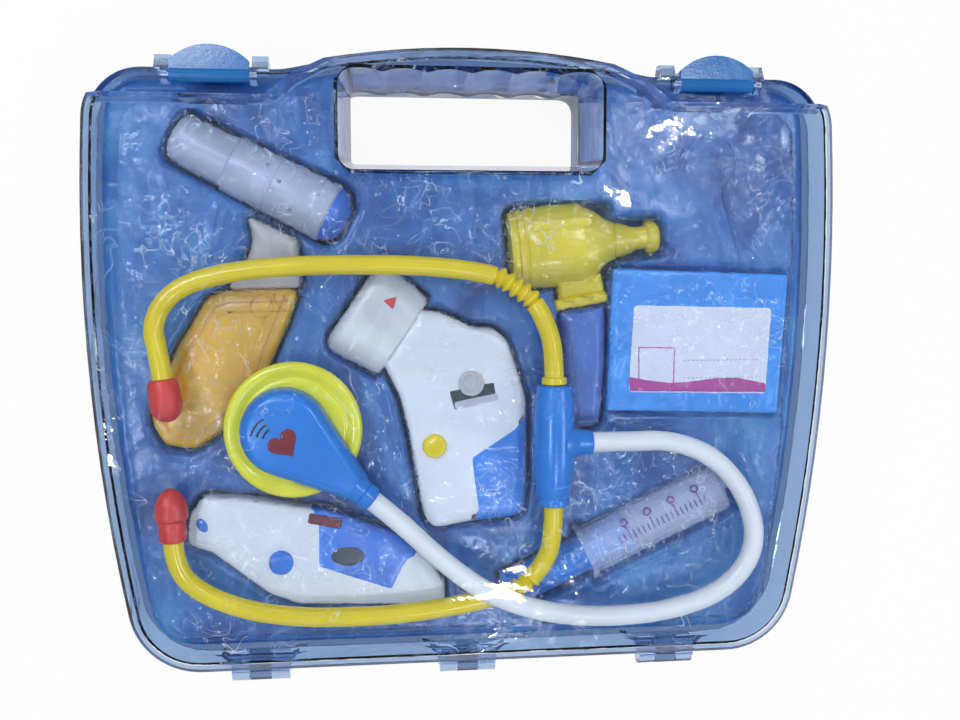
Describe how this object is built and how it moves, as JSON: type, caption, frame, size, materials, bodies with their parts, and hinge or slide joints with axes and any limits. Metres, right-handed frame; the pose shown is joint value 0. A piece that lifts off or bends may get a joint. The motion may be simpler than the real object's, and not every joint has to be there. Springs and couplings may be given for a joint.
{
  "type": "toy doctor case",
  "caption": "Clear hinged carry case lying on its back, with a blue moulded tray of toy medical instruments under a clear blister and a toy stethoscope laid on top.",
  "frame": {"origin": "centre of the bounding box in plan, on the flat rear face that the case lies on", "axes": "+X to the right across the case, +Y from the hinges toward the carry handle, +Z from the rear face toward the clear front cover"},
  "size_m": [0.3028, 0.262, 0.061],
  "materials": {
    "rear_clear": "clear moulded polystyrene with a blue cast",
    "cover_clear": "clear glossy polystyrene",
    "pin_steel": "plain drawn wire",
    "latch_blue": "glossy",
    "tray_blue": "thin vacuum-formed sheet, glossy",
    "blister_clear": "thin clear vacuum-formed sheet",
    "yellow_plastic": "glossy",
    "red_soft": "soft satin",
    "bright_blue": "glossy",
    "white_hose": "soft satin",
    "white_plastic": "semi-gloss",
    "yellow_clear": "translucent, glossy",
    "red_clear": "translucent, glossy",
    "black_print": "dark glossy window",
    "silver_paint": "silver-grey paint",
    "maroon_clear": "translucent dark red",
    "grey_plastic": "pale grey, glossy",
    "beige_plastic": "satin",
    "orange_plastic": "glossy",
    "deep_blue_clear": "translucent deep blue",
    "paper_card": "printed card",
    "barrel_clear": "clear glossy tube"
  },
  "bodies": {
    "case": {"rear_shell": "rear_clear", "hinge_pins": "pin_steel", "insert_tray": "tray_blue", "blister": "blister_clear", "headset_tube_upper": "yellow_plastic", "headset_tube_lower": "yellow_plastic", "ear_tip_upper": "red_soft", "ear_tip_lower": "red_soft", "y_connector": "bright_blue", "hose": "white_hose", "chest_disc": "white_plastic", "chest_ring": "yellow_clear", "chest_body": "bright_blue", "heart_window": "red_clear", "gun_shell_rear": "white_plastic", "gun_shell_front": "white_plastic", "gun_grip_panel": "bright_blue", "gun_head": "white_plastic", "gun_window": "black_print", "gun_lamp": "maroon_clear", "thermometer_shell_rear": "white_plastic", "thermometer_shell_front": "white_plastic", "thermometer_panel": "bright_blue", "thermometer_window": "black_print", "thermometer_slot": "maroon_clear", "thermometer_eye": "bright_blue", "hammer_head": "grey_plastic", "hammer_cap": "bright_blue", "hammer_neck": "beige_plastic", "hammer_handle": "orange_plastic", "otoscope_head": "yellow_plastic", "otoscope_nozzle": "yellow_plastic", "otoscope_handle": "deep_blue_clear", "badge_frame": "bright_blue", "badge_card": "paper_card", "syringe_barrel": "barrel_clear"},
    "cover": {"front_cover": "cover_clear", "latch_pins": "pin_steel"},
    "left_latch": {"latch_left": "latch_blue"},
    "right_latch": {"latch_right": "latch_blue"},
    "gun_key": {"gun_button": "yellow_plastic"},
    "gun_knob": {"gun_dial": "silver_paint"},
    "thermometer_key": {"thermometer_button": "bright_blue"},
    "plunger": {"syringe_plunger": "bright_blue"}
  },
  "joints": [
    {"name": "cover_hinge", "type": "hinge", "parent": "case", "child": "cover", "pos_m": [0, -0.1266, 0.034], "axis": [1, 0, 0], "range_deg": [0, 170]},
    {"name": "latch_left_pivot", "type": "hinge", "parent": "cover", "child": "left_latch", "pos_m": [-0.1015, 0.1185, 0.0502], "axis": [1, 0, 0], "range_deg": [0, 100]},
    {"name": "latch_right_pivot", "type": "hinge", "parent": "cover", "child": "right_latch", "pos_m": [0.1015, 0.1185, 0.0502], "axis": [1, 0, 0], "range_deg": [0, 100]},
    {"name": "gun_button_press", "type": "slide", "parent": "case", "child": "gun_key", "axis": [0, 0, -1], "range_m": [0, 0.0012], "stiffness_N_per_m": 300},
    {"name": "gun_dial_turn", "type": "hinge", "parent": "case", "child": "gun_knob", "pos_m": [0.0017, -0.0046, 0.038], "axis": [0, 0, 1], "range_deg": [-160, 160]},
    {"name": "thermometer_button_press", "type": "slide", "parent": "case", "child": "thermometer_key", "axis": [0, 0, -1], "range_m": [0, 0.0012], "stiffness_N_per_m": 300},
    {"name": "plunger_slide", "type": "slide", "parent": "case", "child": "plunger", "axis": [0.907, 0.421, 0], "range_m": [0, 0.035]}
  ]
}
